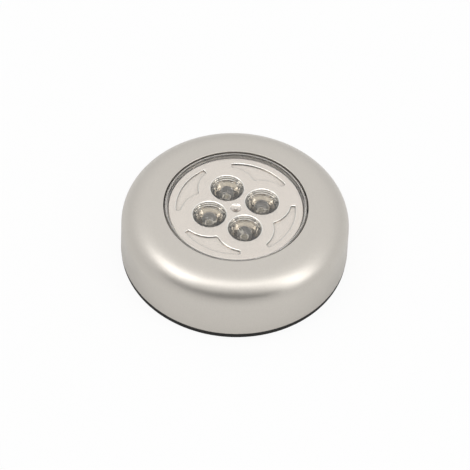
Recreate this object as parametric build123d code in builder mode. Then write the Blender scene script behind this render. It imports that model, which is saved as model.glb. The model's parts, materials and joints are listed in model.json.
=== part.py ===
from build123d import *
import math
import os

os.makedirs("parts", exist_ok=True)

# A battery push light: a low round body that twists off its base plate, with a clear
# lens that is pressed to switch four LEDs on and off. Millimetres, +Z away from the
# wall or table, origin at the bottom centre. Three cells lie in a triangle round a well.

# Adhesive pad under the base, and its peel-off liner
liner_thickness = 0.15
liner_tab_reach = 5.0
liner_tab_width = 10.0
pad_radius = 14.0
pad_thickness = 1.0
pad_proud = 0.2
pad_recess_clearance = 0.3

# Base plate
base_inset = 0.15
base_thickness = 2.0
base_edge_round = 0.3
screw_spacing = 36.0
screw_hole_radius = 1.75
countersink_radius = 2.9
countersink_angle = 90.0
relief_inner_radius = 22.5
relief_rim_width = 2.7
relief_depth = 0.8
relief_rib_width = 1.2
relief_rib_count = 6

# Twist lock between base and cover
leg_thickness = 1.2
leg_half_angle = 10.0
lug_reach = 0.75
lug_thickness = 1.6
ledge_reach = 0.95
ledge_thickness = 1.8
ledge_lift = 1.55
ledge_lead_angle = 2.0
stop_angle = 3.0
stop_gap_angle = 0.4
lock_radial_gap = 0.2
lock_face_gap = 0.1

# Cells, size AAA
cell_radius = 5.25
cell_length = 44.5
nub_radius = 1.9
nub_height = 1.0
sleeve_thickness = 0.15
sleeve_inset = 0.9
cell_rim_round = 0.5
cell_floor_gap = 0.35
cell_roof_gap = 0.3
bay_angles = (90.0, 210.0, 330.0)
corner_turn = 60.0

# Battery tray
well_clearance = 0.8
well_wall = 0.9
well_floor = 1.0
well_floor_gap = 0.25
roof_thickness = 1.0
cell_side_gap = 0.25
bay_wall = 1.0
bay_wall_half_length = 19.0
bay_wall_foot_gap = 2.0
end_wall_foot_gap = 1.05
plus_wall_reach = 3.8
minus_wall_reach = 2.4
wall_inner_reach = 5.0
tray_clearance = 0.3
notch_clearance = 0.9

# Contacts
contact_thickness = 0.4
contact_gap = 0.05
contact_edge_inset = 0.2
contact_foot_gap = 0.4
spring_length = 2.55
spring_wire_radius = 0.25
spring_radius = 3.2
spring_turns = 2.5
spring_cone_angle = -30.0
plus_tab_reach = 1.4
plus_tab_height = 2.4
link_width = 4.0

# Cover
foot_gap = 0.1
cover_wall = 1.6
cover_lean = 0.28
shoulder_height = 8.4
crown_width = 3.91
crown_slope = 3.5
opening_radius = 23.5
opening_round = 0.2
collar_wall = 1.2
collar_depth = 4.8
post_radius = 2.0
key_angles = (62.5, 242.5)
key_half_angle = 4.4
key_side_angle = 0.8
key_wall = 0.9
key_clearance = 0.3

# Screws
screw_radius = 0.95
screw_length = 4.8
screw_tip_chamfer = 0.4
screw_head_radius = 1.8
screw_head_height = 1.3
screw_head_round = 0.4
screw_cross_width = 0.5
screw_cross_length = 2.2
screw_cross_depth = 0.7
pilot_clearance = 0.05
pilot_depth_spare = 0.4
shank_clearance = 0.15

# Push lens
press_travel = 1.5
press_stop_gap = 0.2
lens_gap = 0.35
lens_recess = 0.3
lens_edge_round = 0.3
lens_disc = 1.25
lens_wall = 1.0
flange_reach = 1.55
flange_thickness = 1.0
flange_gap = 0.1
snap_reach = 0.5
snap_thickness = 0.8
snap_half_angle = 6.0
snap_gap = 0.05

# Reflector with its four cups
plate_gap = 0.5
plate_side_gap = 0.15
plate_thickness = 1.2
plate_edge_chamfer = 0.3
cup_circle_radius = 9.0
cup_rim_radius = 5.46
cup_wall = 0.8
cup_rim_width = 0.25
cup_rim_depth = 0.12
cup_facets = 6
cup_angles = (0.0, 90.0, 180.0, 270.0)
led_reach_in_cup = 5.4
led_cup_gap = 0.1
module_post_radius = 1.8
module_post_inset = 2.8
module_post_turn = 45.0
peg_tail = 0.4
pocket_depth = 0.5
pocket_rim_width = 0.14
pocket_rim_depth = 0.07
pocket_half_angle = 31.0
pocket_edge_share = 0.332
pocket_cup_share = 0.522
pocket_tail_round = 0.5
pocket_apex_round = 0.8
dimple_radius = 1.9
dimple_depth = 0.65
pip_radius = 0.45
pip_height = 0.45

# LED board, LEDs of 5 mm and resistor
board_margin = 4.0
board_thickness = 1.2
led_radius = 2.5
led_height = 8.6
led_flange_radius = 2.9
led_flange_height = 1.0
led_board_gap = 1.65
lead_pitch = 2.54
lead_side = 0.5
lead_tail = 0.9
lead_hole_clearance = 0.1
frame_height = 5.2
frame_step = 0.4
anvil_height = 1.7
anvil_overhang = 0.6
chip_cup_radius = 0.8
chip_cup_floor_radius = 0.4
chip_cup_depth = 0.5
resistor_radius = 0.85
resistor_length = 3.4
resistor_lead_radius = 0.25
resistor_lead_reach = 0.9
resistor_lead_bend = 0.5
resistor_board_gap = 0.1

# Push switch
switch_side = 8.0
switch_height = 3.05
switch_floor = 0.4
switch_wall = 1.6
switch_edge_round = 0.4
pin_radius = 0.3
pin_inset = 1.0
pin_tail = 0.4
plunger_radius = 1.5
plunger_clearance = 0.1
plunger_flange_reach = 0.6
plunger_flange_height = 0.35
plunger_gap = 0.05
switch_spring_radius = 1.6
switch_spring_wire_radius = 0.12
switch_spring_turns = 2.5

# Lead wires from the tray to the board
wire_radius = 0.55
wire_pitch = 1.7
wire_bend_radius = 1.2
wire_start_gap = 0.35
wire_board_inset = 1.9

# How far a cut runs past what it cuts
overrun = 1.0

# Heights, from the wall up
foot_z = liner_thickness + pad_proud
recess_z = liner_thickness + pad_thickness
base_top = foot_z + base_thickness
cover_foot = base_top + foot_gap
cell_z = base_top + cell_floor_gap + cell_radius
roof_bottom = cell_z + cell_radius + cell_roof_gap
roof_top = roof_bottom + roof_thickness
flange_bottom = roof_top + press_stop_gap + press_travel
flange_top = flange_bottom + flange_thickness
collar_bottom = flange_top + flange_gap
cover_top = collar_bottom + collar_depth
lens_top = cover_top - lens_recess
lens_underside = lens_top - lens_disc
plate_top = lens_underside - plate_gap
plate_bottom = plate_top - plate_thickness
snap_top = plate_bottom - snap_gap
well_floor_bottom = base_top + well_floor_gap
well_floor_top = well_floor_bottom + well_floor
plunger_bottom = well_floor_top + plunger_gap
switch_bottom = plunger_bottom + press_travel + press_stop_gap
board_bottom = switch_bottom + switch_height
board_top = board_bottom + board_thickness
led_bottom = board_top + led_board_gap
led_top = led_bottom + led_height
cup_bottom = led_top - led_reach_in_cup
wall_foot = base_top + end_wall_foot_gap
bay_wall_foot = base_top + bay_wall_foot_gap
contact_foot = base_top + contact_foot_gap
contact_top = roof_bottom - contact_gap
ledge_bottom = cover_foot + ledge_lift
ledge_top = ledge_bottom + ledge_thickness
lug_bottom = ledge_top + lock_face_gap
lug_top = lug_bottom + lug_thickness
wire_z = (well_floor_top + board_bottom) / 2

# Radii and places in plan, from the middle out
board_radius = cup_circle_radius + board_margin
well_radius = board_radius + well_clearance
well_outer = well_radius + well_wall
cell_offset = well_outer + cell_side_gap + cell_radius
bay_wall_inner = cell_offset + cell_radius + cell_side_gap
bay_wall_outer = bay_wall_inner + bay_wall
can_radius = cell_radius - sleeve_thickness
half_cell = cell_length / 2
plus_face = half_cell + contact_gap
plus_back = plus_face + contact_thickness
plus_wall = plus_back + contact_gap
minus_face = half_cell + spring_length
minus_back = minus_face + contact_thickness
minus_wall = minus_back + contact_gap
end_inner = cell_offset - wall_inner_reach
contact_inner = end_inner + contact_edge_inset
plus_end_outer = cell_offset + plus_wall_reach
minus_end_outer = cell_offset + minus_wall_reach
tray_radius = math.hypot(minus_wall + bay_wall, minus_end_outer)
ledge_radius = tray_radius + tray_clearance
cover_inner = ledge_radius + ledge_reach
cover_radius = cover_inner + cover_wall
base_radius = cover_radius - base_inset
leg_outer = ledge_radius - lock_radial_gap
leg_inner = leg_outer - leg_thickness
lug_radius = leg_outer + lug_reach
post_circle = (bay_wall_outer + leg_inner) / 2
side_radius = cover_radius - cover_lean
lens_radius = opening_radius - lens_gap
lens_inner = lens_radius - lens_wall
flange_radius = lens_radius + flange_reach
plate_radius = lens_inner - plate_side_gap
cup_margin = plate_radius - cup_circle_radius - cup_rim_radius
pocket_outer = plate_radius - pocket_edge_share * cup_margin
pocket_side_radius = cup_rim_radius + pocket_cup_share * cup_margin
cup_hole_radius = led_radius + led_cup_gap
module_post_circle = board_radius - module_post_inset
pilot_radius = screw_radius + pilot_clearance
clear_radius = screw_radius + shank_clearance
corner_angle = bay_angles[0] - corner_turn


def turned(angle, height):
    """A level plane whose x axis points outward at this angle."""
    return Plane.XY.offset(height).rotated((0, 0, angle))


def place(angle, out, along, height):
    """The point this far out at the angle, and this far along to its left."""
    turn = math.radians(angle)
    east = out * math.cos(turn) - along * math.sin(turn)
    north = out * math.sin(turn) + along * math.cos(turn)
    return Vector(east, north, height)


def outward(angle):
    """The level direction at this angle."""
    return place(angle, 1, 0, 0)


def leftward(angle):
    """The level direction to the left of this angle."""
    return place(angle, 0, 1, 0)


def out_to_side(bay, along, side):
    """How far out, at this place along a bay, a line beside the corner's middle is met."""
    across = leftward(corner_angle)
    return (side - along * leftward(bay).dot(across)) / outward(bay).dot(across)


def cell_plane(angle, along):
    """A plane square to the cell of this bay, at this place along it."""
    origin = place(angle, cell_offset, along, cell_z)
    return Plane(origin=origin, x_dir=outward(angle), z_dir=leftward(angle))


def upright(angle, out, along):
    """A standing plane through this place, with x outward at the angle and y up."""
    return Plane(origin=place(angle, out, along, 0), x_dir=outward(angle), z_dir=-leftward(angle))


def axis_at(angle, out):
    """The upright axis this far out at the angle."""
    return Axis(place(angle, out, 0, 0), (0, 0, 1))


def ring_sector(inner, outer, start, end):
    """A sketch of a piece of a ring between two angles."""
    with BuildSketch() as sector:
        with BuildLine():
            far = CenterArc((0, 0), outer, start, end - start)
            near = CenterArc((0, 0), inner, start, end - start)
            Line(near @ 0, far @ 0)
            Line(near @ 1, far @ 1)
        make_face()
    return sector.sketch


def under_shoulder(radius, inset):
    """Height of the cover's shell at this radius, this far in from its outside."""
    width = shoulder_width - inset
    height = shoulder_height - inset
    reach = max(radius - shoulder_centre, 0) / width
    return shoulder_z + height * math.sqrt(1 - reach**2)


def crown_turn(width, height):
    """How far round an elliptic shoulder its slope equals the crown's."""
    return 90 - math.degrees(math.atan(width / height * crown_tangent))


# The cover's shoulder is a quarter ellipse that runs into a gently sloped crown
crown_tangent = math.tan(math.radians(crown_slope))
shoulder_centre = opening_radius + crown_width
shoulder_width = side_radius - shoulder_centre
outer_turn = crown_turn(shoulder_width, shoulder_height)
inner_width = shoulder_width - cover_wall
inner_height = shoulder_height - cover_wall
inner_turn = crown_turn(inner_width, inner_height)
crown_start = shoulder_centre + shoulder_width * math.cos(math.radians(outer_turn))
crown_rise = (crown_start - opening_radius) * crown_tangent
shoulder_z = cover_top - crown_rise - shoulder_height * math.sin(math.radians(outer_turn))
collar_outer = opening_radius + collar_wall
key_inner = collar_outer - key_wall
key_foot = roof_top + key_clearance
wall_middle = cover_inner + cover_wall / 2


# Release liner: a thin disc with a pull tab, the lowest piece
tab_end = pad_radius + liner_tab_reach - liner_tab_width / 2
with BuildPart() as release_liner:
    with BuildSketch(Plane.XY):
        Circle(pad_radius)
        with Locations((0, -tab_end / 2)):
            SlotOverall(tab_end + liner_tab_width, liner_tab_width, rotation=90)
    extrude(amount=liner_thickness)
release_liner.part.label = "release_liner"
export_step(release_liner.part, "parts/release_liner.step")


# Adhesive pad: double-sided foam, its upper face stuck in the base's recess
with BuildPart() as adhesive_pad:
    with BuildSketch(Plane.XY.offset(liner_thickness)):
        Circle(pad_radius)
    extrude(amount=pad_thickness)
adhesive_pad.part.label = "adhesive_pad"
export_step(adhesive_pad.part, "parts/adhesive_pad.step")


# Base plate: a disc with the pad's recess, two wall screw holes and three hook legs
leg_sketch = ring_sector(leg_inner, leg_outer, -leg_half_angle, leg_half_angle)
lug_sketch = ring_sector(leg_inner, lug_radius, -leg_half_angle, leg_half_angle)
relief_outer = base_radius - relief_rim_width
with BuildPart() as base_plate:
    with BuildSketch(Plane.XY.offset(foot_z)):
        Circle(base_radius)
    extrude(amount=base_thickness)
    fillet(base_plate.edges().filter_by(GeomType.CIRCLE).sort_by(Axis.Z)[0], base_edge_round)
    with BuildSketch(Plane.XY.offset(foot_z)):
        Circle(pad_radius + pad_recess_clearance)
    extrude(amount=recess_z - foot_z, mode=Mode.SUBTRACT)
    with BuildSketch(Plane.XY.offset(foot_z)):
        Circle(relief_outer)
        Circle(relief_inner_radius, mode=Mode.SUBTRACT)
        with PolarLocations(0, relief_rib_count):
            Rectangle(base_radius, relief_rib_width, align=(Align.MIN, Align.CENTER), mode=Mode.SUBTRACT)
    extrude(amount=relief_depth, mode=Mode.SUBTRACT)
    with Locations((-screw_spacing / 2, 0, base_top), (screw_spacing / 2, 0, base_top)):
        CounterSinkHole(screw_hole_radius, countersink_radius, counter_sink_angle=countersink_angle)
    for angle in bay_angles:
        with BuildSketch(turned(angle, base_top)):
            add(leg_sketch)
        extrude(amount=lug_top - base_top)
        with BuildSketch(turned(angle, lug_bottom)):
            add(lug_sketch)
        extrude(amount=lug_thickness)
base_plate.part.label = "base_plate"
export_step(base_plate.part, "parts/base_plate.step")


# Cover: the silver shell, with collar, keys under it, screw posts and lock ledges
stop_start = leg_half_angle + stop_gap_angle
stop_end = stop_start + stop_angle
ledge_start = -leg_half_angle - ledge_lead_angle
ledge_sketch = ring_sector(ledge_radius, wall_middle, ledge_start, stop_end)
stop_sketch = ring_sector(ledge_radius, wall_middle, stop_start, stop_end)
key_sketch = ring_sector(key_inner, collar_outer, -key_half_angle, key_half_angle)
post_near = under_shoulder(post_circle - post_radius, cover_wall)
post_far = under_shoulder(post_circle + post_radius, 0)
post_top = (post_near + post_far) / 2
pilot_depth = screw_length - roof_thickness + pilot_depth_spare
with BuildPart() as cover:
    with BuildSketch(Plane.XZ):
        with BuildLine():
            side = Line((cover_radius, cover_foot), (side_radius, shoulder_z))
            shoulder = EllipticalCenterArc(
                (shoulder_centre, shoulder_z), shoulder_width, shoulder_height, arc_size=outer_turn
            )
            crown = Line(shoulder @ 1, (opening_radius, cover_top))
            lip = Line(crown @ 1, (opening_radius, collar_bottom))
            collar_end = Line(lip @ 1, (collar_outer, collar_bottom))
            inside = EllipticalCenterArc(
                (shoulder_centre, shoulder_z), inner_width, inner_height, arc_size=inner_turn
            )
            under_crown = Line(
                inside @ 1,
                (collar_outer, (inside @ 1).Y + ((inside @ 1).X - collar_outer) * crown_tangent),
            )
            Line(under_crown @ 1, collar_end @ 1)
            inner_side = Line(inside @ 0, (cover_inner, cover_foot))
            Line(inner_side @ 1, side @ 0)
        make_face()
    revolve(axis=Axis.Z)
    fillet(cover.edges().filter_by(GeomType.CIRCLE).sort_by(Axis.Z)[-1], opening_round)
    for angle in bay_angles:
        with BuildSketch(turned(angle, ledge_bottom)):
            add(ledge_sketch)
        extrude(amount=ledge_thickness)
        with BuildSketch(turned(angle, ledge_bottom)):
            add(stop_sketch)
        extrude(amount=lug_top - ledge_bottom)
        with BuildSketch(turned(angle, roof_top)):
            with Locations((post_circle, 0)):
                Circle(post_radius)
        extrude(amount=post_top - roof_top)
        with BuildSketch(turned(angle, roof_top)):
            with Locations((post_circle, 0)):
                Circle(pilot_radius)
        extrude(amount=pilot_depth, mode=Mode.SUBTRACT)
    for angle in key_angles:
        with BuildSketch(turned(angle, key_foot)):
            add(key_sketch)
        extrude(amount=collar_bottom - key_foot)
cover.part.label = "cover"
export_step(cover.part, "parts/cover.step")


# Battery tray: a roof over the cells, a well for the switch, and the bays' end walls
well_depth = roof_bottom - well_floor_bottom
notch_width = wire_pitch + 2 * (wire_radius + notch_clearance)
notch_height = 2 * (wire_radius + notch_clearance)
with BuildPart() as battery_tray:
    with BuildSketch(Plane.XY.offset(roof_bottom)):
        Circle(tray_radius)
        Circle(well_radius, mode=Mode.SUBTRACT)
        for angle in bay_angles:
            with Locations(place(angle, post_circle, 0, 0)):
                Circle(clear_radius, mode=Mode.SUBTRACT)
    extrude(amount=roof_thickness)
    with BuildSketch(Plane.XY.offset(well_floor_bottom)):
        Circle(well_outer)
    extrude(amount=well_depth)
    with BuildSketch(Plane.XY.offset(well_floor_top)):
        Circle(well_radius)
    extrude(amount=well_depth, mode=Mode.SUBTRACT)
    with BuildSketch(turned(corner_angle, wire_z - notch_height / 2)):
        Rectangle(well_outer + overrun, notch_width, align=(Align.MIN, Align.CENTER))
    extrude(amount=notch_height, mode=Mode.SUBTRACT)
    for angle in bay_angles:
        with BuildSketch(turned(angle, bay_wall_foot)):
            with Locations((bay_wall_inner, 0)):
                Rectangle(bay_wall, 2 * bay_wall_half_length, align=(Align.MIN, Align.CENTER))
        extrude(amount=roof_bottom - bay_wall_foot)
        with BuildSketch(turned(angle, wall_foot)):
            with Locations((end_inner, plus_wall)):
                Rectangle(plus_end_outer - end_inner, bay_wall, align=Align.MIN)
            with Locations((end_inner, -minus_wall - bay_wall)):
                Rectangle(minus_end_outer - end_inner, bay_wall, align=Align.MIN)
        extrude(amount=roof_bottom - wall_foot)
battery_tray.part.label = "battery_tray"
export_step(battery_tray.part, "parts/battery_tray.step")


def make_screw(angle, out, height):
    """A cross-head screw that points up, with the upper face of its head at this place."""
    with BuildPart() as screw:
        with BuildSketch(turned(angle, height)):
            with Locations((out, 0)):
                Circle(screw_head_radius)
        extrude(amount=-screw_head_height)
        fillet(screw.edges().filter_by(GeomType.CIRCLE).sort_by(Axis.Z)[0], screw_head_round)
        with BuildSketch(turned(angle, height - screw_head_height)):
            with Locations((out, 0)):
                Rectangle(screw_cross_width, screw_cross_length)
                Rectangle(screw_cross_length, screw_cross_width)
        extrude(amount=screw_cross_depth, mode=Mode.SUBTRACT)
        with BuildSketch(turned(angle, height)):
            with Locations((out, 0)):
                Circle(screw_radius)
        extrude(amount=screw_length)
        chamfer(screw.edges().filter_by(GeomType.CIRCLE).sort_by(Axis.Z)[-1], screw_tip_chamfer)
    return screw.part


# Tray screws: up through the roof into the cover's posts
for number, angle in enumerate(bay_angles, start=1):
    tray_screw = make_screw(angle, post_circle, roof_bottom)
    tray_screw.label = f"tray_screw_{number}"
    export_step(tray_screw, f"parts/tray_screw_{number}.step")


# Cells: a metal can with a positive nub, and the sleeve shrunk round it
can_length = cell_length - nub_height
for number, angle in enumerate(bay_angles, start=1):
    with BuildPart() as battery_cell:
        with BuildSketch(cell_plane(angle, -half_cell)):
            Circle(can_radius)
        extrude(amount=can_length)
        fillet(battery_cell.edges().filter_by(GeomType.CIRCLE), cell_rim_round)
        with BuildSketch(cell_plane(angle, half_cell - nub_height)):
            Circle(nub_radius)
        extrude(amount=nub_height)
    battery_cell.part.label = f"battery_cell_{number}"
    export_step(battery_cell.part, f"parts/battery_cell_{number}.step")
    with BuildPart() as battery_sleeve:
        with BuildSketch(cell_plane(angle, -half_cell + sleeve_inset)):
            Circle(cell_radius)
            Circle(can_radius, mode=Mode.SUBTRACT)
        extrude(amount=can_length - 2 * sleeve_inset)
    battery_sleeve.part.label = f"battery_sleeve_{number}"
    export_step(battery_sleeve.part, f"parts/battery_sleeve_{number}.step")


def plate_sketch(inner, end_outer, along):
    """The plan of a contact plate that stands across the end of a bay."""
    with BuildSketch() as plan:
        with Locations((inner, along)):
            Rectangle(end_outer - contact_edge_inset - inner, contact_thickness, align=Align.MIN)
    return plan.sketch


plus_plan = plate_sketch(contact_inner, plus_end_outer, plus_face)
minus_plan = plate_sketch(contact_inner, minus_end_outer, -minus_back)
contact_height = contact_top - contact_foot
plus_middle = plus_face + contact_thickness / 2
minus_middle = minus_face + contact_thickness / 2

# Positive terminal: the last cell's contact plate, with a solder tab towards the well
plus_tab_inner = out_to_side(bay_angles[2], plus_middle, -wire_pitch / 2)
with BuildPart() as terminal_positive:
    with BuildSketch(turned(bay_angles[2], contact_foot)):
        add(plate_sketch(plus_tab_inner + plus_tab_reach, plus_end_outer, plus_face))
    extrude(amount=contact_height)
    with BuildSketch(turned(bay_angles[2], wire_z - plus_tab_height / 2)):
        with Locations((plus_tab_inner, plus_face)):
            Rectangle(plus_tab_reach + link_width, contact_thickness, align=Align.MIN)
    extrude(amount=plus_tab_height)
terminal_positive.part.label = "terminal_positive"
export_step(terminal_positive.part, "parts/terminal_positive.step")


# Negative terminal: the plate behind the first cell's spring
minus_inner = out_to_side(bay_angles[0], -minus_middle, wire_pitch / 2)
with BuildPart() as terminal_negative:
    with BuildSketch(turned(bay_angles[0], contact_foot)):
        add(plate_sketch(minus_inner, minus_end_outer, -minus_back))
    extrude(amount=contact_height)
terminal_negative.part.label = "terminal_negative"
export_step(terminal_negative.part, "parts/terminal_negative.step")


# Link contacts: two plates and a strip that joins one cell's plus to the next one's minus
for number in (1, 2):
    plus_bay = bay_angles[number - 1]
    minus_bay = bay_angles[number]
    with BuildPart() as link_contact:
        with BuildSketch(turned(plus_bay, contact_foot)):
            add(plus_plan)
        extrude(amount=contact_height)
        with BuildSketch(turned(minus_bay, contact_foot)):
            add(minus_plan)
        extrude(amount=contact_height)
        with BuildSketch(Plane.XY.offset(contact_foot)):
            with BuildLine():
                Polyline(
                    place(plus_bay, contact_inner, plus_face, 0),
                    place(plus_bay, contact_inner + link_width, plus_face, 0),
                    place(minus_bay, contact_inner + link_width, -minus_face, 0),
                    place(minus_bay, contact_inner, -minus_face, 0),
                    close=True,
                )
            make_face()
        extrude(amount=contact_thickness)
    link_contact.part.label = f"link_contact_{number}"
    export_step(link_contact.part, f"parts/link_contact_{number}.step")


# Contact springs: conical, between the plate and the negative end of each cell
coil_height = spring_length - 2 * spring_wire_radius - 2 * contact_gap
for number, angle in enumerate(bay_angles, start=1):
    coil_foot = place(angle, cell_offset, -minus_face + contact_gap + spring_wire_radius, cell_z)
    with BuildPart() as contact_spring:
        with BuildLine():
            coil = Helix(
                coil_height / spring_turns,
                coil_height,
                spring_radius,
                center=coil_foot,
                direction=leftward(angle),
                cone_angle=spring_cone_angle,
            )
        with BuildSketch(Plane(origin=coil @ 0, z_dir=coil % 0)):
            Circle(spring_wire_radius)
        sweep(path=coil, is_frenet=True)
    contact_spring.part.label = f"contact_spring_{number}"
    export_step(contact_spring.part, f"parts/contact_spring_{number}.step")


# Push lens: a clear cap with a skirt, and a retaining flange slotted for the cover's keys
snap_outer = lens_inner + lens_wall / 2
snap_sketch = ring_sector(lens_inner - snap_reach, snap_outer, -snap_half_angle, snap_half_angle)
slot_turn = key_half_angle + key_side_angle
slot_sketch = ring_sector(key_inner - key_clearance, flange_radius + overrun, -slot_turn, slot_turn)
with BuildPart() as lens:
    with BuildSketch(Plane.XZ):
        with BuildLine():
            Polyline(
                (0, lens_top),
                (lens_radius, lens_top),
                (lens_radius, flange_top),
                (flange_radius, flange_top),
                (flange_radius, flange_bottom),
                (lens_inner, flange_bottom),
                (lens_inner, lens_underside),
                (0, lens_underside),
                close=True,
            )
        make_face()
    revolve(axis=Axis.Z)
    fillet(lens.edges().filter_by(GeomType.CIRCLE).sort_by(Axis.Z)[-1], lens_edge_round)
    for angle in cup_angles:
        with BuildSketch(turned(angle, snap_top)):
            add(snap_sketch)
        extrude(amount=-snap_thickness)
    for angle in key_angles:
        with BuildSketch(turned(angle, flange_bottom)):
            add(slot_sketch)
        extrude(amount=flange_thickness, mode=Mode.SUBTRACT)
lens.part.label = "lens"
export_step(lens.part, "parts/lens.step")


def cup_outline(wall):
    """Half of a faceted parabolic cup with a flared rim, this much wider than the mirror face."""
    hole = cup_hole_radius + wall
    rim = cup_rim_radius + wall
    rise = plate_top - cup_rim_depth - cup_bottom
    points = [(0, plate_top), (0, cup_bottom)]
    for step in range(cup_facets + 1):
        share = step / cup_facets
        points.append((math.sqrt(hole**2 + (rim**2 - hole**2) * share), cup_bottom + rise * share))
    points.append((rim + cup_rim_width, plate_top))
    with BuildSketch() as outline:
        with BuildLine():
            Polyline(*points, close=True)
        make_face()
    return outline.sketch


def pocket_outline():
    """A pocket in the reflector's face: a piece of a ring, hollowed round the nearest two cups."""
    with BuildSketch() as outline:
        add(ring_sector(cup_circle_radius, pocket_outer, -pocket_half_angle, pocket_half_angle))
        for turn in (-module_post_turn, module_post_turn):
            with Locations(place(turn, cup_circle_radius, 0, 0)):
                Circle(pocket_side_radius, mode=Mode.SUBTRACT)
        fillet(outline.vertices().sort_by(Axis.X)[0], pocket_apex_round)
        fillet(outline.vertices().sort_by(Axis.Y)[:2], pocket_tail_round)
        fillet(outline.vertices().sort_by(Axis.Y)[-2:], pocket_tail_round)
    return outline.sketch


# Reflector: a bright plate with four cups, swept pockets, a dimple and posts for the board
cup_shell = cup_outline(cup_wall)
cup_hollow = cup_outline(0)
pocket_sketch = pocket_outline()
module_pilot_depth = screw_length - board_thickness + pilot_depth_spare
dimple_sphere = (dimple_radius**2 + dimple_depth**2) / (2 * dimple_depth)
dimple_floor = plate_top - dimple_depth
with BuildPart() as reflector:
    with BuildSketch(Plane.XY.offset(plate_bottom)):
        Circle(plate_radius)
    extrude(amount=plate_thickness)
    for angle in cup_angles:
        post_angle = angle + module_post_turn
        with BuildSketch(turned(post_angle, board_top)):
            with Locations((module_post_circle, 0)):
                Circle(module_post_radius)
        extrude(amount=plate_bottom - board_top)
        with BuildSketch(upright(angle, cup_circle_radius, 0)):
            add(cup_shell)
        revolve(axis=axis_at(angle, cup_circle_radius))
    for angle in cup_angles:
        with BuildSketch(upright(angle, cup_circle_radius, 0)):
            add(cup_hollow)
        revolve(axis=axis_at(angle, cup_circle_radius), mode=Mode.SUBTRACT)
    rims = reflector.edges().group_by(Axis.Z)[-1].filter_by(GeomType.CIRCLE).sort_by(SortBy.RADIUS)
    chamfer(rims[-1], plate_edge_chamfer)
    for angle in cup_angles:
        with BuildSketch(turned(angle + module_post_turn, plate_top)):
            add(pocket_sketch)
        extrude(amount=-pocket_depth, mode=Mode.SUBTRACT)
        rim = reflector.edges(Select.LAST).group_by(Axis.Z)[-1]
        face = reflector.faces().filter_by(Plane.XY).group_by(Axis.Z)[-1].sort_by(SortBy.AREA)[-1]
        chamfer(rim, pocket_rim_width, pocket_rim_depth, reference=face)
    with Locations((0, 0, dimple_floor + dimple_sphere)):
        Sphere(dimple_sphere, mode=Mode.SUBTRACT)
    with BuildSketch(Plane.XY.offset(dimple_floor - pip_height)):
        Circle(pip_radius)
    extrude(amount=2 * pip_height)
    for angle in cup_angles[0::2]:
        with BuildSketch(turned(angle + module_post_turn, board_top)):
            with Locations((module_post_circle, 0)):
                Circle(screw_radius)
        extrude(amount=-board_thickness - peg_tail)
    for angle in cup_angles[1::2]:
        with BuildSketch(turned(angle + module_post_turn, board_top)):
            with Locations((module_post_circle, 0)):
                Circle(pilot_radius)
        extrude(amount=module_pilot_depth, mode=Mode.SUBTRACT)
reflector.part.label = "reflector"
export_step(reflector.part, "parts/reflector.step")


# Module screws: up through the board into two of the reflector's posts
for number, angle in enumerate(cup_angles[1::2], start=1):
    board_screw = make_screw(angle + module_post_turn, module_post_circle, board_bottom)
    board_screw.label = f"board_screw_{number}"
    export_step(board_screw, f"parts/board_screw_{number}.step")


# LED board: a round board drilled for LEDs, resistor, switch pins, pegs and screws
lead_hole_radius = math.hypot(lead_side, lead_side) / 2 + lead_hole_clearance
resistor_angle = cup_angles[2] + module_post_turn
resistor_out = (switch_side / math.sqrt(2) + module_post_circle - module_post_radius) / 2
resistor_lead_place = resistor_length / 2 + resistor_lead_reach
pin_spacing = switch_side - 2 * pin_inset
with BuildPart() as led_board:
    with BuildSketch(Plane.XY.offset(board_bottom)):
        Circle(board_radius)
        for angle in cup_angles:
            with Locations(place(angle + module_post_turn, module_post_circle, 0, 0)):
                Circle(clear_radius, mode=Mode.SUBTRACT)
            for step in (-lead_pitch / 2, lead_pitch / 2):
                with Locations(place(angle, cup_circle_radius + step, 0, 0)):
                    Circle(lead_hole_radius, mode=Mode.SUBTRACT)
        for step in (-resistor_lead_place, resistor_lead_place):
            with Locations(place(resistor_angle, resistor_out, step, 0)):
                Circle(resistor_lead_radius + lead_hole_clearance, mode=Mode.SUBTRACT)
        with GridLocations(pin_spacing, pin_spacing, 2, 2):
            Circle(pin_radius + lead_hole_clearance, mode=Mode.SUBTRACT)
    extrude(amount=board_thickness)
led_board.part.label = "led_board"
export_step(led_board.part, "parts/led_board.step")


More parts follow.
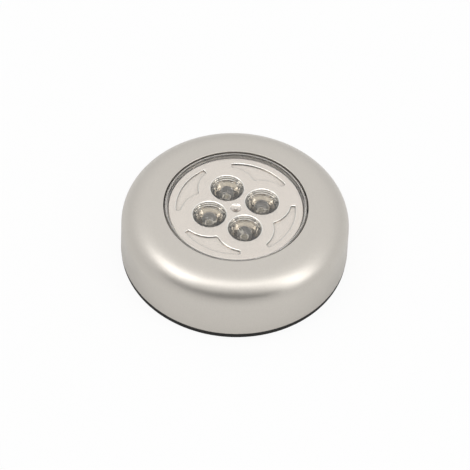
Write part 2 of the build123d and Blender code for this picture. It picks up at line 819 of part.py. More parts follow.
# LEDs: a plain lead, a lead that holds the chip in a cup, and the body moulded round them
frame_top = led_bottom + frame_height
anvil_bottom = frame_top - anvil_height
lead_foot = board_bottom - lead_tail
dome_base = led_top - led_radius
for number, angle in enumerate(cup_angles, start=1):
    with BuildPart() as led_anode:
        with BuildSketch(upright(angle, cup_circle_radius, 0)):
            with Locations((lead_pitch / 2 - lead_side / 2, lead_foot)):
                Rectangle(lead_side, frame_top - frame_step - lead_foot, align=Align.MIN)
        extrude(amount=lead_side / 2, both=True)
    led_anode.part.label = f"led_anode_{number}"
    export_step(led_anode.part, f"parts/led_anode_{number}.step")
    with BuildPart() as led_cathode:
        with BuildSketch(upright(angle, cup_circle_radius, 0)):
            with Locations((-lead_pitch / 2 - lead_side / 2, lead_foot)):
                Rectangle(lead_side, frame_top - lead_foot, align=Align.MIN)
            with Locations((-lead_pitch / 2, anvil_bottom)):
                Rectangle(lead_pitch / 2 + anvil_overhang, anvil_height, align=Align.MIN)
        extrude(amount=lead_side / 2, both=True)
        with BuildSketch(turned(angle, frame_top)):
            with Locations((cup_circle_radius, 0)):
                Circle(chip_cup_radius)
        extrude(amount=-2 * chip_cup_depth)
        with BuildSketch(upright(angle, cup_circle_radius, 0)):
            with BuildLine():
                Polyline(
                    (0, frame_top - chip_cup_depth),
                    (chip_cup_floor_radius, frame_top - chip_cup_depth),
                    ((chip_cup_floor_radius + chip_cup_radius) / 2, frame_top),
                    (0, frame_top),
                    close=True,
                )
            make_face()
        revolve(axis=axis_at(angle, cup_circle_radius), mode=Mode.SUBTRACT)
    led_cathode.part.label = f"led_cathode_{number}"
    export_step(led_cathode.part, f"parts/led_cathode_{number}.step")
    with BuildPart() as led_lens:
        with BuildSketch(upright(angle, cup_circle_radius, 0)):
            with BuildLine():
                Polyline(
                    (0, led_top),
                    (0, led_bottom),
                    (led_flange_radius, led_bottom),
                    (led_flange_radius, led_bottom + led_flange_height),
                    (led_radius, led_bottom + led_flange_height),
                    (led_radius, dome_base),
                )
                CenterArc((0, dome_base), led_radius, 0, 90)
            make_face()
        revolve(axis=axis_at(angle, cup_circle_radius))
        add(led_anode.part, mode=Mode.SUBTRACT)
        add(led_cathode.part, mode=Mode.SUBTRACT)
    led_lens.part.label = f"led_lens_{number}"
    export_step(led_lens.part, f"parts/led_lens_{number}.step")


# Resistor: under the board, its leads bent up through it
resistor_z = board_bottom - resistor_board_gap - resistor_radius
resistor_plane = Plane(
    origin=place(resistor_angle, resistor_out, 0, 0),
    x_dir=leftward(resistor_angle),
    z_dir=outward(resistor_angle),
)
with BuildPart() as resistor:
    with BuildLine(resistor_plane):
        lead_path = FilletPolyline(
            (-resistor_lead_place, board_top),
            (-resistor_lead_place, resistor_z),
            (resistor_lead_place, resistor_z),
            (resistor_lead_place, board_top),
            radius=resistor_lead_bend,
        )
    with BuildSketch(Plane(origin=lead_path @ 0, z_dir=lead_path % 0)):
        Circle(resistor_lead_radius)
    sweep(path=lead_path)
    resistor_middle = place(resistor_angle, resistor_out, 0, resistor_z)
    with BuildSketch(Plane(origin=resistor_middle, z_dir=leftward(resistor_angle))):
        Circle(resistor_radius)
    extrude(amount=resistor_length / 2, both=True)
resistor.part.label = "resistor"
export_step(resistor.part, "parts/resistor.step")


# Switch body: a square box under the board, bored for the plunger and its spring
bore_radius = switch_side / 2 - switch_wall
with BuildPart() as switch_body:
    with BuildSketch(Plane.XY.offset(switch_bottom)):
        RectangleRounded(switch_side, switch_side, switch_edge_round)
    extrude(amount=switch_height)
    with BuildSketch(Plane.XY.offset(switch_bottom)):
        Circle(plunger_radius + plunger_clearance)
    extrude(amount=switch_height, mode=Mode.SUBTRACT)
    with BuildSketch(Plane.XY.offset(switch_bottom + switch_floor)):
        Circle(bore_radius)
    extrude(amount=switch_height, mode=Mode.SUBTRACT)
    with BuildSketch(Plane.XY.offset(board_bottom)):
        with GridLocations(pin_spacing, pin_spacing, 2, 2):
            Circle(pin_radius)
    extrude(amount=board_thickness + pin_tail)
switch_body.part.label = "switch_body"
export_step(switch_body.part, "parts/switch_body.step")


# Plunger: its foot stands on the well's floor, its flange is kept in the switch body
plunger_flange_bottom = switch_bottom + switch_floor + plunger_gap
plunger_top = plunger_flange_bottom + plunger_flange_height
with BuildPart() as switch_plunger:
    with BuildSketch(Plane.XY.offset(plunger_bottom)):
        Circle(plunger_radius)
    extrude(amount=plunger_top - plunger_bottom)
    with BuildSketch(Plane.XY.offset(plunger_flange_bottom)):
        Circle(plunger_radius + plunger_flange_reach)
    extrude(amount=plunger_flange_height)
switch_plunger.part.label = "switch_plunger"
export_step(switch_plunger.part, "parts/switch_plunger.step")


# Switch spring: between the plunger's flange and the board
spring_foot = plunger_top + plunger_gap + switch_spring_wire_radius
switch_coil_height = board_bottom - plunger_gap - switch_spring_wire_radius - spring_foot
with BuildPart() as switch_spring:
    with BuildLine():
        switch_coil = Helix(
            switch_coil_height / switch_spring_turns,
            switch_coil_height,
            switch_spring_radius,
            center=(0, 0, spring_foot),
        )
    with BuildSketch(Plane(origin=switch_coil @ 0, z_dir=switch_coil % 0)):
        Circle(switch_spring_wire_radius)
    sweep(path=switch_coil, is_frenet=True)
switch_spring.part.label = "switch_spring"
export_step(switch_spring.part, "parts/switch_spring.step")


# Lead wires: from each terminal through the well's notch and up to the board
plus_solder = place(bay_angles[2], plus_tab_inner, plus_middle, 0)
minus_solder = place(bay_angles[0], minus_inner, -minus_middle, 0)
wire_end = board_radius - wire_board_inset
for colour, solder in (("red", plus_solder), ("black", minus_solder)):
    wire_start = solder.dot(outward(corner_angle)) - wire_start_gap
    wire_side = solder.dot(leftward(corner_angle))
    with BuildPart() as lead_wire:
        with BuildLine(upright(corner_angle, 0, wire_side)):
            wire_path = FilletPolyline(
                (wire_start, wire_z), (wire_end, wire_z), (wire_end, board_bottom), radius=wire_bend_radius
            )
        with BuildSketch(Plane(origin=wire_path @ 0, z_dir=wire_path % 0)):
            Circle(wire_radius)
        sweep(path=wire_path)
    lead_wire.part.label = f"lead_wire_{colour}"
    export_step(lead_wire.part, f"parts/lead_wire_{colour}.step")
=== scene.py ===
"""A battery push light: a satin silver shell, a clear push lens, a bright reflector with
four LEDs in cups, and a black base. Everything is in metres, in the CAD part's frame."""

import json
import math

import bmesh
import bpy
from mathutils import Matrix, Vector


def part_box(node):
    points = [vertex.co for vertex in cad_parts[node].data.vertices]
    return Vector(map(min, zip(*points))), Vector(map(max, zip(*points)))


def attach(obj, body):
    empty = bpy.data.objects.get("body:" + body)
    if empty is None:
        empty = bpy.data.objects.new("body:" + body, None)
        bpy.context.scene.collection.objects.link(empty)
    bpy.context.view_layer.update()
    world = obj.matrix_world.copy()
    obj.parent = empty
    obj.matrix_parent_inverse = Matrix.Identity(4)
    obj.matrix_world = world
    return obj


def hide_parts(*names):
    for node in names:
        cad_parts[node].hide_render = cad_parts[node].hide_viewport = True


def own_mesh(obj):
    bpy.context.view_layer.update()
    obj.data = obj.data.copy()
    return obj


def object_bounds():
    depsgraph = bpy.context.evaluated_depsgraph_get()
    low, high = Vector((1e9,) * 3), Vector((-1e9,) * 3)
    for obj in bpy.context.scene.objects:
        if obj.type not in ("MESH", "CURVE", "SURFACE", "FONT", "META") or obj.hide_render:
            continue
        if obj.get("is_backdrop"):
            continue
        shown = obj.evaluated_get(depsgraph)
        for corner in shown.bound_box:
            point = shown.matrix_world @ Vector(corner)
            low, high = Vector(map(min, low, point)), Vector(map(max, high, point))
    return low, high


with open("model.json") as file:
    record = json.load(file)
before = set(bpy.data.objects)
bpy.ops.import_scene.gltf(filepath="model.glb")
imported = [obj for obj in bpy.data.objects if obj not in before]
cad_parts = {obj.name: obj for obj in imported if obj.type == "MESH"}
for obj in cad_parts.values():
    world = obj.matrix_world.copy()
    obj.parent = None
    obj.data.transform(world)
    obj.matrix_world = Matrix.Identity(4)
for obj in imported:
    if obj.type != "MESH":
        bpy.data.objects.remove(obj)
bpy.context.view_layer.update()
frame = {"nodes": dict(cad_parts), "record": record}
MM = 0.001
UP = Vector((0, 0, 1))
LED_NUMBERS = range(1, 5)
plate_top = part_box("reflector")[1][2]
lens_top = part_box("lens")[1][2]
slots = {row["node"]: row["material_slot"] for row in frame["record"]["subparts"]}


def centre(node):
    """The upright axis of a node, as x and y."""
    low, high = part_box(node)
    return (low[0] + high[0]) / 2, (low[1] + high[1]) / 2


def placed(name, data):
    """A new object in the scene."""
    piece = bpy.data.objects.new(name, data)
    bpy.context.scene.collection.objects.link(piece)
    return piece


# Camera, set from the outline of the light in the photograph
PICTURE = 470
FOCAL_PIXELS = 1944.0
CAMERA_DISTANCE = 0.646
CAMERA_AZIMUTH = math.radians(-20.5)
CAMERA_ELEVATION = math.radians(50.18)
CAMERA_ROLL = math.radians(-2.55)
CENTRE_OFFSET = (-0.95, 13.56)
SENSOR = 36.0
CLIP_NEAR, CLIP_FAR = 0.01, 50.0

level_right = Vector((math.cos(CAMERA_AZIMUTH), math.sin(CAMERA_AZIMUTH), 0))
level_away = UP.cross(level_right)
back = UP * math.sin(CAMERA_ELEVATION) - level_away * math.cos(CAMERA_ELEVATION)
level_up = back.cross(level_right)
roll_cos, roll_sin = math.cos(CAMERA_ROLL), math.sin(CAMERA_ROLL)
rolled_right = roll_cos * level_right - roll_sin * level_up
rolled_up = roll_sin * level_right + roll_cos * level_up
aim = (
    -back
    - rolled_right * (CENTRE_OFFSET[0] / FOCAL_PIXELS)
    + rolled_up * (CENTRE_OFFSET[1] / FOCAL_PIXELS)
).normalized()
camera_right = (rolled_right - aim * rolled_right.dot(aim)).normalized()
camera_up = camera_right.cross(aim)
camera_turn = Matrix((camera_right, camera_up, -aim)).transposed().to_4x4()
camera = placed("camera", bpy.data.cameras.new("camera"))
camera.data.sensor_width = SENSOR
camera.data.lens = FOCAL_PIXELS * SENSOR / PICTURE
camera.data.clip_start, camera.data.clip_end = CLIP_NEAR, CLIP_FAR
camera.matrix_world = Matrix.Translation(back * CAMERA_DISTANCE) @ camera_turn
bpy.context.scene.camera = camera
bpy.context.scene.view_settings.view_transform = "Standard"


class Shader:
    """The nodes of one material, or of the world. Where a method takes a number or a colour,
    it also takes another node's socket. Scales of patterns are counts per metre."""

    def __init__(self, owner, output="ShaderNodeOutputMaterial", coordinates="Object"):
        self.owner = owner
        owner.use_nodes = True
        self.tree = owner.node_tree
        self.tree.nodes.clear()
        self.out = self.add(output)
        self.position = self.add("ShaderNodeTexCoord").outputs[coordinates]

    def add(self, kind, inputs=None, **settings):
        """A new node with its settings, and with its inputs linked or set."""
        node = self.tree.nodes.new(kind)
        for key, value in settings.items():
            setattr(node, key, value)
        for key, value in (inputs or {}).items():
            socket = node.inputs[key]
            if isinstance(value, bpy.types.NodeSocket):
                self.tree.links.new(value, socket)
            elif socket.type == "RGBA":
                socket.default_value = (*value, 1)
            else:
                socket.default_value = value
        return node

    def math(self, operation, first, second=0.0):
        return self.add("ShaderNodeMath", {0: first, 1: second}, operation=operation).outputs[0]

    def times(self, product, *factors):
        for factor in factors:
            product = self.math("MULTIPLY", product, factor)
        return product

    def length(self, across, along):
        """The length of a flat vector."""
        return self.math("SQRT", self.math("ADD", self.times(across, across), self.times(along, along)))

    def radius(self, x=0.0, y=0.0):
        """Distance from an upright axis."""
        place = self.add("ShaderNodeSeparateXYZ", {0: self.position}).outputs
        return self.length(self.math("SUBTRACT", place[0], x), self.math("SUBTRACT", place[1], y))

    def height(self):
        return self.add("ShaderNodeSeparateXYZ", {0: self.position}).outputs[2]

    def ramp(self, value, first, last, start=0.0, end=1.0):
        """Goes from first to last as the value goes from start to end, and no further."""
        return self.add("ShaderNodeMapRange", {0: value, 1: start, 2: end, 3: first, 4: last}).outputs[0]

    def within(self, value, rise, fall):
        """1 from the end of the rise to the start of the fall, and 0 outside both."""
        return self.times(self.ramp(value, 0.0, 1.0, *rise), self.ramp(value, 1.0, 0.0, *fall))

    def blend(self, share, first, last):
        """A number that goes from first to last."""
        return self.add("ShaderNodeMix", {"Factor": share, "A": first, "B": last}).outputs[0]

    def mix(self, share, first, last):
        """A colour that goes from first to last."""
        return self.add("ShaderNodeMix", {"Factor": share, 6: first, 7: last}, data_type="RGBA").outputs[2]

    def noise(self, scale, detail=2):
        return self.add(
            "ShaderNodeTexNoise", {"Vector": self.position, "Scale": scale, "Detail": detail}
        ).outputs["Fac"]

    def cells(self, scale):
        return self.add("ShaderNodeTexVoronoi", {"Vector": self.position, "Scale": scale}).outputs

    def bump(self, height, strength, depth, under=None):
        """Small relief, on top of the relief under it if there is one."""
        inputs = {"Height": height, "Strength": strength, "Distance": depth}
        if under:
            inputs["Normal"] = under
        return self.add("ShaderNodeBump", inputs).outputs[0]

    def end(self, kind, inputs):
        """Ends the nodes in one shader."""
        self.tree.links.new(self.add(kind, inputs).outputs[0], self.out.inputs[0])
        return self.owner

    def surface(self, **inputs):
        """Ends the material in one principled shader."""
        named = {key.replace("_", " "): value for key, value in inputs.items()}
        return self.end("ShaderNodeBsdfPrincipled", named)


def material(name):
    return Shader(bpy.data.materials.new(name))


# The cover's shoulder is a quarter ellipse between two radii and two heights. Paint covers its
# outer face, from a share of the way out, and the lip of the opening.
SHOULDER_RADII = (27.41 * MM, 37.21 * MM)
SHOULDER_HEIGHTS = (13.6 * MM, 22.0 * MM)
PAINT_SHARES = (0.92, 0.95)
LIP_RADII = (23.7 * MM, 23.9 * MM)
LIP_HEIGHTS = (19.8 * MM, 20.2 * MM)


def silver_paint():
    """Satin flake paint on the outside of the cover, dark plastic inside it; down the wall of the opening,
    under the painted lip, that dark is also painted shade in the gap.
    """
    s = material("silver_paint")
    out, up = s.radius(), s.height()
    shell = s.length(s.ramp(out, 0.0, 1.0, *SHOULDER_RADII), s.ramp(up, 0.0, 1.0, *SHOULDER_HEIGHTS))
    lip = s.times(s.ramp(out, 1.0, 0.0, *LIP_RADII), s.ramp(up, 0.0, 1.0, *LIP_HEIGHTS))
    paint = s.math("MAXIMUM", s.ramp(shell, 0.0, 1.0, *PAINT_SHARES), lip)
    flake = s.add("ShaderNodeSeparateColor", {0: s.cells(9000)["Color"]}).outputs[0]
    cloud = s.noise(60, detail=3)
    tone = s.mix(flake, (0.542, 0.511, 0.467), (0.622, 0.588, 0.540))
    tone = s.mix(s.ramp(cloud, 0.0, 0.10), tone, (0.45, 0.425, 0.39))
    # unpainted dark plastic inside the cover; down the opening's wall it is also painted shade in the gap
    inside_dark_and_gap_shade = s.mix(s.noise(400, detail=3), (0.020, 0.020, 0.021), (0.035, 0.034, 0.033))
    grain = s.math("ADD", s.noise(2600), s.times(flake, 0.3))
    return s.surface(
        Base_Color=s.mix(paint, inside_dark_and_gap_shade, tone),
        Metallic=s.times(paint, 0.92),
        Roughness=s.blend(paint, 0.55, s.ramp(flake, 0.33, 0.41)),
        Coat_Weight=s.ramp(paint, 0.0, 0.35),
        Coat_Roughness=0.3,
        Normal=s.bump(grain, strength=0.10, depth=0.04 * MM),
    )


# The reflector's zones: distances from a cup's axis and from the middle, and depths under the
# face of the plate. A pair is where a zone fades in or out. The pockets' rims get a painted
# highlight, and the pockets' walls, their corners and the deep part of the cups get painted shade.
CUP_EDGE = (5.38 * MM, 5.48 * MM)
DIMPLE_EDGE = (3.5 * MM, 4.0 * MM)
RIM_HIGHLIGHT_TOP, RIM_HIGHLIGHT_FOOT = (0.002 * MM, 0.010 * MM), (0.065 * MM, 0.085 * MM)
POCKET_SHADE_TOP, POCKET_SHADE_FOOT = (0.13 * MM, 0.19 * MM), (0.45 * MM, 0.49 * MM)
RIDGES_FOOT = (2.05 * MM, 2.15 * MM)
CUP_SHADE = (3.25 * MM, 4.25 * MM)
RIDGE_WIDTH = 0.35 * MM
CORNER_SHADE_REACH = 1.5 * MM
CORNER_SHADE_OPENNESS = (0.55, 0.97)
CORNER_SHADE_SAMPLES = 8


def reflector_metal():
    """Bright metallising: satin on the face, with a painted highlight on the pockets' rims and
    painted shade in their corners and down their walls, and mirror bright in the cups, darkened
    deep down by painted shade, with fine ridges on the upper wall."""
    s = material("bright_chrome")
    depth = s.math("SUBTRACT", plate_top, s.height())
    near = None
    for number in LED_NUMBERS:
        distance = s.radius(*centre(f"led_lens_{number}"))
        near = distance if near is None else s.math("MINIMUM", near, distance)
    face = s.ramp(near, 0.0, 1.0, *CUP_EDGE)
    cloud = s.noise(110, detail=3)

    plate = s.mix(s.ramp(cloud, 0.0, 0.5), (0.77, 0.70, 0.64), (0.83, 0.765, 0.705))
    # painted shade: the plate darkens where its corners are closed in
    openness = s.add(
        "ShaderNodeAmbientOcclusion", {"Distance": CORNER_SHADE_REACH}, samples=CORNER_SHADE_SAMPLES, only_local=True
    ).outputs["AO"]
    corner = s.ramp(openness, 0.85, 0.0, *CORNER_SHADE_OPENNESS)
    # painted shade down the pockets' walls, kept off the dimple in the middle
    wall = s.within(depth, POCKET_SHADE_TOP, POCKET_SHADE_FOOT)
    wall = s.times(wall, s.ramp(s.radius(), 0.0, 1.0, *DIMPLE_EDGE))
    plate = s.mix(s.math("MAXIMUM", wall, corner), plate, (0.34, 0.305, 0.27))
    # painted highlight: the pockets' rims are coloured near white
    plate = s.mix(s.within(depth, RIM_HIGHLIGHT_TOP, RIM_HIGHLIGHT_FOOT), plate, (1.0, 0.98, 0.95))

    cup = s.mix(s.ramp(cloud, 0.0, 0.8), (0.90, 0.875, 0.83), (0.97, 0.945, 0.90))
    # painted shade: the cups darken towards their bottoms
    cup = s.mix(s.ramp(depth, 0.0, 0.8, *CUP_SHADE), cup, (0.19, 0.16, 0.125))
    ridge = s.math("PINGPONG", s.math("DIVIDE", s.height(), RIDGE_WIDTH), 1.0)
    ridge = s.times(ridge, s.ramp(depth, 1.0, 0.0, *RIDGES_FOOT), s.math("SUBTRACT", 1.0, face))
    ridge = s.bump(ridge, strength=1.0, depth=0.06 * MM)
    return s.surface(
        Base_Color=s.mix(face, cup, plate),
        Metallic=1.0,
        Roughness=s.blend(face, 0.04, s.ramp(cloud, 0.20, 0.28)),
        Normal=s.bump(s.noise(700), strength=0.05, depth=0.04 * MM, under=ridge),
    )


# The lens's zones: radii, and depths under its top, where each fades in or out
LENS_EDGE = (0.05 * MM, 0.25 * MM)
LENS_WALL = (22.10 * MM, 22.14 * MM)
LINE_INSIDE, LINE_OUTSIDE = (22.45 * MM, 22.53 * MM), (22.75 * MM, 22.83 * MM)


def lens_acrylic():
    """Clear moulded acrylic with the faintest flow marks. The side wall has a fine grain and a
    silvery shine from inside, and a thin clouded line runs round the top."""
    s = material("clear_acrylic")
    flow = s.noise(90)
    out = s.radius()
    below = s.ramp(s.math("SUBTRACT", lens_top, s.height()), 0.0, 1.0, *LENS_EDGE)
    wall = s.times(s.ramp(out, 0.0, 1.0, *LENS_WALL), below)
    line = s.times(s.within(out, LINE_INSIDE, LINE_OUTSIDE), s.math("SUBTRACT", 1.0, below))
    clean = s.mix(s.ramp(flow, 0.0, 0.3), (0.985, 0.99, 0.985), (0.955, 0.96, 0.955))
    grain = s.mix(s.noise(900), (0.90, 0.86, 0.81), (0.97, 0.93, 0.88))
    return s.surface(
        Base_Color=s.mix(s.math("MAXIMUM", wall, line), clean, grain),
        Roughness=s.blend(wall, s.ramp(flow, 0.015, 0.024), 0.3),
        Metallic=s.ramp(wall, 0.0, 0.6),
        IOR=1.49,
        Transmission_Weight=s.math("SUBTRACT", s.ramp(wall, 1.0, 0.18), s.times(line, 0.45)),
        Normal=s.bump(s.noise(160, detail=1), strength=0.02, depth=0.05 * MM),
    )


def led_epoxy():
    """Slightly smoky epoxy, as LED bodies are."""
    s = material("clear_epoxy")
    flow = s.noise(300)
    return s.surface(
        Base_Color=s.mix(flow, (0.74, 0.67, 0.58), (0.84, 0.77, 0.68)),
        Roughness=s.ramp(flow, 0.05, 0.09),
        IOR=1.53,
        Transmission_Weight=s.ramp(flow, 0.80, 0.88),
        Normal=s.bump(flow, strength=0.05, depth=0.05 * MM),
    )


def moulded(name, dark, light, rough, grain=900, strength=0.25, shine=0.5):
    """Moulded plastic or rubber with a fine spark-eroded grain."""
    s = material(name)
    cloud = s.noise(45, detail=3)
    fine = s.noise(grain, detail=3)
    return s.surface(
        Base_Color=s.mix(s.times(s.math("ADD", cloud, fine), 0.5), dark, light),
        Roughness=s.ramp(fine, rough - 0.05, rough + 0.08),
        Specular_IOR_Level=shine,
        Normal=s.bump(fine, strength, depth=0.03 * MM),
    )


def plated(name, dark, light, rough):
    """Plated or tinned metal with a fine mottle."""
    s = material(name)
    fine = s.noise(500, detail=3)
    return s.surface(
        Base_Color=s.mix(fine, dark, light),
        Metallic=1.0,
        Roughness=s.ramp(fine, rough - 0.05, rough + 0.1),
        Normal=s.bump(fine, strength=0.1, depth=0.02 * MM),
    )


def foam():
    """Closed-cell foam tape."""
    s = material("foam_tape")
    cells = s.cells(2600)["Distance"]
    return s.surface(
        Base_Color=s.mix(cells, (0.50, 0.49, 0.46), (0.74, 0.73, 0.69)),
        Roughness=0.9,
        Normal=s.bump(cells, strength=0.5, depth=0.1 * MM),
    )


materials = {
    "silver_paint": silver_paint(),
    "bright_chrome": reflector_metal(),
    "clear_acrylic": lens_acrylic(),
    "clear_epoxy": led_epoxy(),
    "foam_tape": foam(),
}
for name, dark, light, rough, extra in (
    ("black_plastic", (0.012, 0.012, 0.011), (0.026, 0.025, 0.023), 0.6, {"shine": 0.2}),
    ("white_plastic", (0.66, 0.65, 0.61), (0.78, 0.77, 0.73), 0.4, {}),
    ("liner_paper", (0.74, 0.72, 0.66), (0.84, 0.82, 0.77), 0.3, {"grain": 1500}),
    ("cell_sleeve", (0.03, 0.04, 0.06), (0.06, 0.07, 0.10), 0.2, {"grain": 300, "strength": 0.05}),
    ("board_laminate", (0.26, 0.19, 0.09), (0.40, 0.31, 0.16), 0.45, {"grain": 1200}),
    ("resistor_body", (0.50, 0.38, 0.24), (0.62, 0.50, 0.34), 0.3, {}),
    ("red_insulation", (0.42, 0.02, 0.02), (0.56, 0.04, 0.03), 0.35, {}),
    ("black_insulation", (0.015, 0.015, 0.015), (0.03, 0.03, 0.03), 0.35, {}),
    ("phosphor_gel", (0.33, 0.30, 0.23), (0.42, 0.39, 0.30), 0.3, {"grain": 3000}),
):
    materials[name] = moulded(name, dark, light, rough, **extra)
for name, dark, light, rough in (
    ("zinc_steel", (0.50, 0.50, 0.49), (0.68, 0.68, 0.66), 0.3),
    ("nickel_strip", (0.56, 0.54, 0.50), (0.72, 0.70, 0.66), 0.22),
    ("tinned_lead", (0.62, 0.62, 0.60), (0.78, 0.78, 0.76), 0.25),
    ("cell_can", (0.58, 0.58, 0.57), (0.72, 0.72, 0.70), 0.25),
):
    materials[name] = plated(name, dark, light, rough)

for node, slot in slots.items():
    mesh = frame["nodes"][node].data
    mesh.materials.clear()
    mesh.materials.append(materials[slot])


def new_piece(name, data, slot, finish=None):
    """A piece that moves with the lens. Its finish is its slot's, unless another is named."""
    data.materials.append(materials[finish or slot])
    piece = placed(name, data)
    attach(piece, "push_lens")
    return piece


def skinned(name, rings, sharp_angle):
    """A closed mesh over rings of points. A ring may be a single point, and a whole ring at
    an end is closed by a flat face."""
    solid = bmesh.new()
    rings = [[solid.verts.new(point) for point in ring] for ring in rings]
    sides = max(len(ring) for ring in rings)
    for first, second in zip(rings, rings[1:]):
        for side in range(sides):
            after = (side + 1) % sides
            corners = [first[side % len(first)], first[after % len(first)]]
            corners += [second[after % len(second)], second[side % len(second)]]
            solid.faces.new(list(dict.fromkeys(corners)))
    for ring in (rings[0], rings[-1]):
        if len(ring) > 1:
            solid.faces.new(ring)
    bmesh.ops.recalc_face_normals(solid, faces=solid.faces)
    mesh = bpy.data.meshes.new(name)
    solid.to_mesh(mesh)
    solid.free()
    mesh.shade_smooth()
    mesh.set_sharp_from_angle(angle=sharp_angle)
    return mesh


# LEDs: a clear body without the hollow that the leads leave, the phosphor gel in the chip's
# cup, and the bond wire from the chip to the other lead
LED_RADIUS = 2.5 * MM
LED_FLANGE = 1.0 * MM
LED_EDGE = 0.1 * MM
LED_DOME_STEPS = 20
GEL_RADIUS = 0.6 * MM
GEL_FLOOR_RADIUS = 0.42 * MM
GEL_RISE = 0.16 * MM
GEL_DEPTH = 0.42 * MM
GEL_DOME_STEPS = 6
SPIN_STEPS = 64
SPUN_SHARP_ANGLE = math.radians(35)
BOND_WIRE = 0.03 * MM
BOND_RISE = 0.55 * MM
BOND_LEAN_SHARE = 0.25
BOND_STEPS = 8


def spun(name, outline, x, y):
    """A turned solid. Its outline is (radius, height) pairs from the axis and back to it."""
    rings = []
    for out, up in outline:
        turns = [2 * math.pi * step / SPIN_STEPS for step in range(SPIN_STEPS if out else 1)]
        rings.append([(x + out * math.cos(t), y + out * math.sin(t), up) for t in turns])
    return skinned(name, rings, SPUN_SHARP_ANGLE)


def dome(radius, rise, foot, steps):
    """Half an arch, round or flattened: from its foot up to its top on the axis."""
    turns = [math.pi / 2 * step / steps for step in range(steps)]
    arch = [(radius * math.cos(t), foot + rise * math.sin(t)) for t in turns]
    return [*arch, (0, foot + rise)]


def led_outline(foot, top, flange):
    shelf = foot + LED_FLANGE
    return [
        (0, foot), (flange - LED_EDGE, foot), (flange, foot + LED_EDGE),
        (flange, shelf - LED_EDGE), (flange - LED_EDGE, shelf),
        (LED_RADIUS + LED_EDGE, shelf), (LED_RADIUS, shelf + LED_EDGE),
        *dome(LED_RADIUS, LED_RADIUS, top - LED_RADIUS, LED_DOME_STEPS),
    ]


def gel_outline(level):
    floor = level - GEL_DEPTH
    return [(0, floor), (GEL_FLOOR_RADIUS, floor), *dome(GEL_RADIUS, GEL_RISE, level, GEL_DOME_STEPS)]


def bond_wire(name, start, end):
    """A thin wire that arches from the chip to the lead beside it."""
    curve = bpy.data.curves.new(name, "CURVE")
    curve.dimensions = "3D"
    curve.bevel_depth = BOND_WIRE
    curve.resolution_u = BOND_STEPS
    line = curve.splines.new("BEZIER")
    line.bezier_points.add(1)
    lean, lift = (end - start) * BOND_LEAN_SHARE, UP * BOND_RISE
    first, last = line.bezier_points
    first.co, first.handle_left, first.handle_right = start, start - lean - lift, start + lean + lift
    last.co, last.handle_left, last.handle_right = end, end - lean + lift, end + lean - lift
    return curve


for number in LED_NUMBERS:
    low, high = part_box(f"led_lens_{number}")
    x, y = centre(f"led_lens_{number}")
    outline = led_outline(low[2], high[2], (high[0] - low[0]) / 2)
    body = new_piece(f"led_body_{number}", spun(f"led_body_{number}", outline, x, y), "clear_epoxy")
    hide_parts(f"led_lens_{number}")
    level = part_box(f"led_cathode_{number}")[1][2]
    gel = spun(f"phosphor_{number}", gel_outline(level), x, y)
    new_piece(f"phosphor_{number}", gel, "clear_epoxy", finish="phosphor_gel")
    lead_top = Vector((*centre(f"led_anode_{number}"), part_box(f"led_anode_{number}")[1][2]))
    wire = bond_wire(f"bond_wire_{number}", Vector((x, y, level)), lead_top)
    new_piece(f"bond_wire_{number}", wire, "tinned_lead")


# Inside: the switch's coil and the two lead wires. The wires run side by side at an angle to X,
# in from the tray, and bend up to the board.
COIL_RADIUS = 1.6 * MM
COIL_WIRE = 0.12 * MM
COIL_TURNS = 2.5
COIL_STEPS = 80
WIRE_RADIUS = 0.55 * MM
WIRE_BEND = 1.2 * MM
WIRE_BEND_STEPS = 8
WIRE_OUT = 11.1 * MM
WIRE_SIDE = 0.85 * MM
WIRE_ANGLE = math.radians(30)
TUBE_SIDES = 16
TUBE_SHARP_ANGLE = math.radians(50)


def tube(name, path, radius):
    """A round tube along a path, closed at both ends."""
    normal = (path[1] - path[0]).orthogonal().normalized()
    turns = [2 * math.pi * side / TUBE_SIDES for side in range(TUBE_SIDES)]
    rings = []
    for step, point in enumerate(path):
        ahead = (path[min(step + 1, len(path) - 1)] - path[max(step - 1, 0)]).normalized()
        normal = (normal - ahead * normal.dot(ahead)).normalized()
        across = ahead.cross(normal)
        rings.append([point + radius * (math.cos(t) * normal + math.sin(t) * across) for t in turns])
    return skinned(name, rings, TUBE_SHARP_ANGLE)


def pressed(name, node, path, radius):
    """A tube that stands for a node, held at the board."""
    piece = new_piece(name, tube(name, path, radius), slots[node])
    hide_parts(node)
    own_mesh(piece)


low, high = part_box("switch_spring")
climb = high[2] - low[2] - 2 * COIL_WIRE
coil = []
for step in range(COIL_STEPS + 1):
    turn = 2 * math.pi * COIL_TURNS * step / COIL_STEPS
    rise = low[2] + COIL_WIRE + climb * step / COIL_STEPS
    coil.append(Vector((COIL_RADIUS * math.cos(turn), COIL_RADIUS * math.sin(turn), rise)))
pressed("switch_coil", "switch_spring", coil, COIL_WIRE)

wire_cos, wire_sin = math.cos(WIRE_ANGLE), math.sin(WIRE_ANGLE)
for colour, side in (("red", -WIRE_SIDE), ("black", WIRE_SIDE)):
    low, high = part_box(f"lead_wire_{colour}")
    level = low[2] + WIRE_RADIUS
    # The wire starts where the far corner of its end face touches the side of its box
    route = [((high[0] + (side - WIRE_RADIUS) * wire_sin) / wire_cos, level)]
    for step in range(WIRE_BEND_STEPS + 1):
        turn = math.pi / 2 * step / WIRE_BEND_STEPS
        out = WIRE_OUT + WIRE_BEND * (1 - math.sin(turn))
        route.append((out, level + WIRE_BEND * (1 - math.cos(turn))))
    route.append((WIRE_OUT, high[2]))
    path = [
        Vector((out * wire_cos - side * wire_sin, out * wire_sin + side * wire_cos, up))
        for out, up in route
    ]
    pressed(f"wire_{colour}", f"lead_wire_{colour}", path, WIRE_RADIUS)


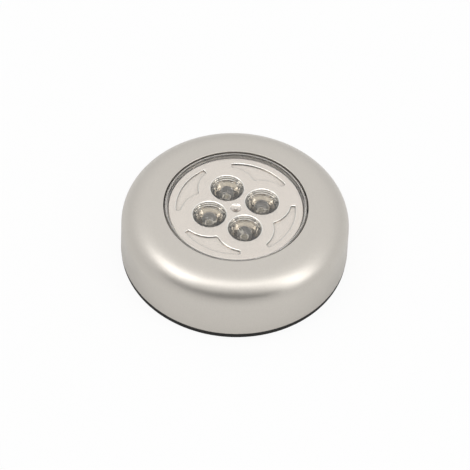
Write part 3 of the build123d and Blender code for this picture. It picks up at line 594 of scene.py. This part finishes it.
# Floor: a wide white sheet. The object mirrors it as white on the camera's side, fading out to
# the sides and close to the object: a painted reflection, with a painted shadow round the object.
FLOOR_SIZE = 12.0
FLOOR_THICKNESS = 0.02
FLOOR_SEEN_SHARE = 0.92
FLOOR_MIRRORED_SHARE = 0.55
FLOOR_FRONT_COSINES = (0.35, 0.85)
FLOOR_SHADOW_RADII = (38 * MM, 47 * MM)
FLOOR_SHADOW_SHARE = 0.35


def floor_material():
    s = material("floor_white")
    rays = s.add("ShaderNodeLightPath").outputs
    front = s.add("ShaderNodeVectorMath", {0: s.position, 1: -level_away}, operation="DOT_PRODUCT")
    out = s.radius()
    # painted reflection: the mirrored glow is strongest ahead of the camera and fades to the sides
    ahead = s.ramp(s.math("DIVIDE", front.outputs["Value"], out), 0.0, 1.0, *FLOOR_FRONT_COSINES)
    # painted shadow: the mirrored glow fades close to the object
    clear = s.ramp(out, FLOOR_SHADOW_SHARE, 1.0, *FLOOR_SHADOW_RADII)
    mirrored = s.math("MAXIMUM", rays["Is Glossy Ray"], rays["Is Transmission Ray"])
    mirrored = s.times(mirrored, ahead, clear, FLOOR_MIRRORED_SHARE)
    white = s.math("MAXIMUM", s.ramp(rays["Is Camera Ray"], 0.0, FLOOR_SEEN_SHARE), mirrored)
    tone = s.mix(s.noise(6), (0.90, 0.90, 0.895), (0.93, 0.93, 0.925))
    matt = s.add("ShaderNodeBsdfDiffuse", {"Color": tone}).outputs[0]
    glow = s.add("ShaderNodeEmission", {"Color": (1, 1, 1), "Strength": 1.0}).outputs[0]
    return s.end("ShaderNodeMixShader", {0: white, 1: matt, 2: glow})


def on_stage(name, mesh, finish):
    mesh.materials.append(finish)
    piece = placed(name, mesh)
    piece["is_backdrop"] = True
    return piece


slab = bmesh.new()
slab_size = Matrix.Diagonal((FLOOR_SIZE, FLOOR_SIZE, FLOOR_THICKNESS, 1))
bmesh.ops.create_cube(slab, size=1.0, matrix=Matrix.Translation(-UP * FLOOR_THICKNESS / 2) @ slab_size)
floor_mesh = bpy.data.meshes.new("floor")
slab.to_mesh(floor_mesh)
slab.free()
on_stage("floor", floor_mesh, floor_material())

# The studio round it: pale grey at the horizon, and white from well above it, where the
# sine of the height is the one given
HORIZON_LEVEL = 0.76
WHITE_SINE = 0.72
MATT_LIGHT_SHARE = 0.75


def studio_sky():
    """The sky as it is seen and mirrored. It lights matt surfaces a little less."""
    s = Shader(bpy.data.worlds.new("studio"), "ShaderNodeOutputWorld", "Generated")
    rays = s.add("ShaderNodeLightPath").outputs
    seen = s.math("MAXIMUM", rays["Is Camera Ray"], rays["Is Glossy Ray"])
    seen = s.math("MAXIMUM", seen, rays["Is Transmission Ray"])
    level = s.ramp(s.height(), HORIZON_LEVEL, 1.0, 0.0, WHITE_SINE)
    strength = s.times(level, s.ramp(seen, MATT_LIGHT_SHARE, 1.0))
    return s.end("ShaderNodeBackground", {"Color": (1, 1, 1), "Strength": strength})


def from_camera_side(right, away, up):
    """A place named as the camera sees it: to its right, away from it, and up."""
    return level_right * right + level_away * away + UP * up


def soft_box(name, right, away, up, width, depth, power):
    """A rectangular lamp that faces the object and doesn't show."""
    lamp = bpy.data.lights.new(name, "AREA")
    lamp.shape = "RECTANGLE"
    lamp.size, lamp.size_y = width, depth
    lamp.energy = power
    piece = placed(name, lamp)
    piece.location = from_camera_side(right, away, up)
    piece.rotation_mode = "QUATERNION"
    piece.rotation_quaternion = piece.location.to_track_quat("Z", "Y")
    piece.visible_camera = False


bpy.context.scene.world = studio_sky()
soft_box("key", right=0.0, away=-0.28, up=1.3, width=2.0, depth=0.22, power=3.2)
soft_box("left", right=-0.86, away=-0.20, up=1.22, width=0.75, depth=0.6, power=2.6)
soft_box("right", right=1.06, away=-0.46, up=0.92, width=0.5, depth=0.85, power=3.1)

# A dark card behind the camera, which the shoulder mirrors as its dark band. It is highest
# and widest in the middle, and runs further round to the left than to the right. Its places
# are angles in degrees: round from the camera, and above the level.
CARD_DISTANCE = 1.1
CARD_LEFT, CARD_RIGHT = -66, 46
CARD_MIDDLE, CARD_END = 36, 25
CARD_HALF_WIDTH = 13
CARD_NARROWING = 0.55
CARD_STEPS = 22


def card_material():
    s = material("card_black")
    tone = s.mix(s.noise(30), (0.02, 0.02, 0.02), (0.03, 0.03, 0.03))
    return s.end("ShaderNodeBsdfDiffuse", {"Color": tone})


card_points = []
for step in range(CARD_STEPS + 1):
    round_from = CARD_LEFT + (CARD_RIGHT - CARD_LEFT) * step / CARD_STEPS
    reach = abs(round_from / CARD_LEFT)
    middle = CARD_MIDDLE + (CARD_END - CARD_MIDDLE) * reach
    half = CARD_HALF_WIDTH * (1 - CARD_NARROWING * reach)
    turn = math.radians(round_from)
    for rise in (math.radians(middle - half), math.radians(middle + half)):
        level = CARD_DISTANCE * math.cos(rise)
        card_points.append(from_camera_side(
            level * math.sin(turn), -level * math.cos(turn), CARD_DISTANCE * math.sin(rise)
        ))
card_faces = [(2 * step, 2 * step + 2, 2 * step + 3, 2 * step + 1) for step in range(CARD_STEPS)]
card_mesh = bpy.data.meshes.new("card")
card_mesh.from_pydata(card_points, [], card_faces)
card = on_stage("card", card_mesh, card_material())
card.visible_camera = False
card.visible_shadow = False

low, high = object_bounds()
